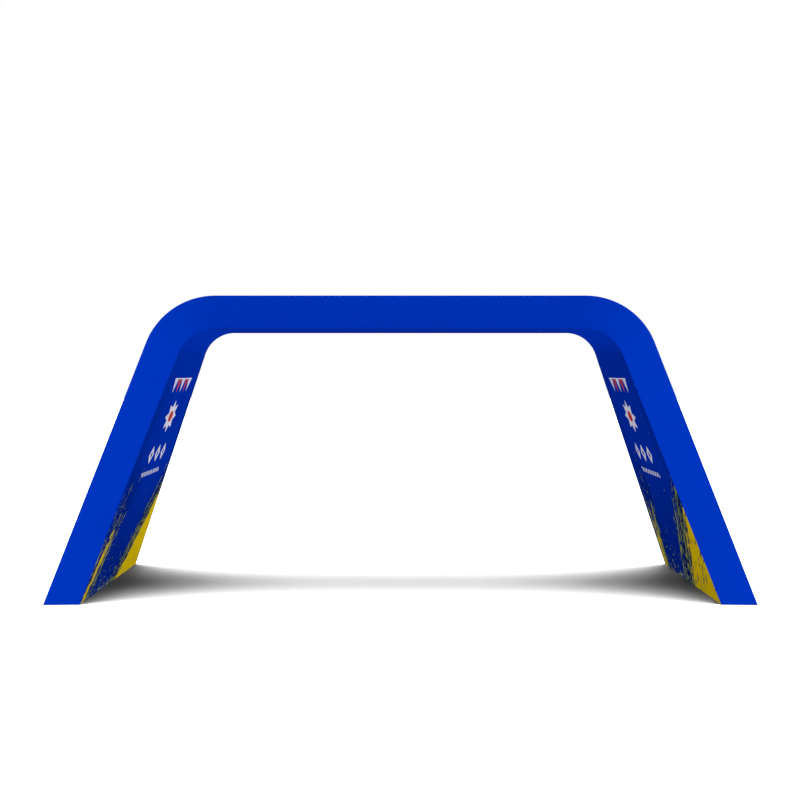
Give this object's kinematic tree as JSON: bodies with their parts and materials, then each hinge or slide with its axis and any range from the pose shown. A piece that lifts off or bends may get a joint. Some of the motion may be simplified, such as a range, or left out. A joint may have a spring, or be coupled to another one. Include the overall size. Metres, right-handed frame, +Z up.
{
  "type": "inflatable arch",
  "caption": "Wide inflatable arch of blue coated cloth, its two leaning legs flaring front to back, with round shoulders and a level beam over a tall passage.",
  "frame": {"origin": "on the ground in the middle of the passage, half way between the feet and half way from front to back", "axes": "+X along the arch from the left foot to the right foot, +Y from the front face to the back face, +Z up"},
  "size_m": [8, 1.7, 3.4526],
  "materials": {
    "face_cloth": "plain royal blue coated polyester, matt",
    "printed_cloth": "royal blue coated polyester, matt, with a rough yellow dry-brush print rising from each foot",
    "outer_cloth": "plain royal blue coated polyester, matt",
    "base_cloth": "dark blue coated polyester, matt"
  },
  "bodies": {
    "root": {"front_face": "face_cloth", "back_face": "face_cloth", "inner_band": "printed_cloth", "outer_band": "outer_cloth", "left_foot_base": "base_cloth", "right_foot_base": "base_cloth"}
  },
  "joints": []
}
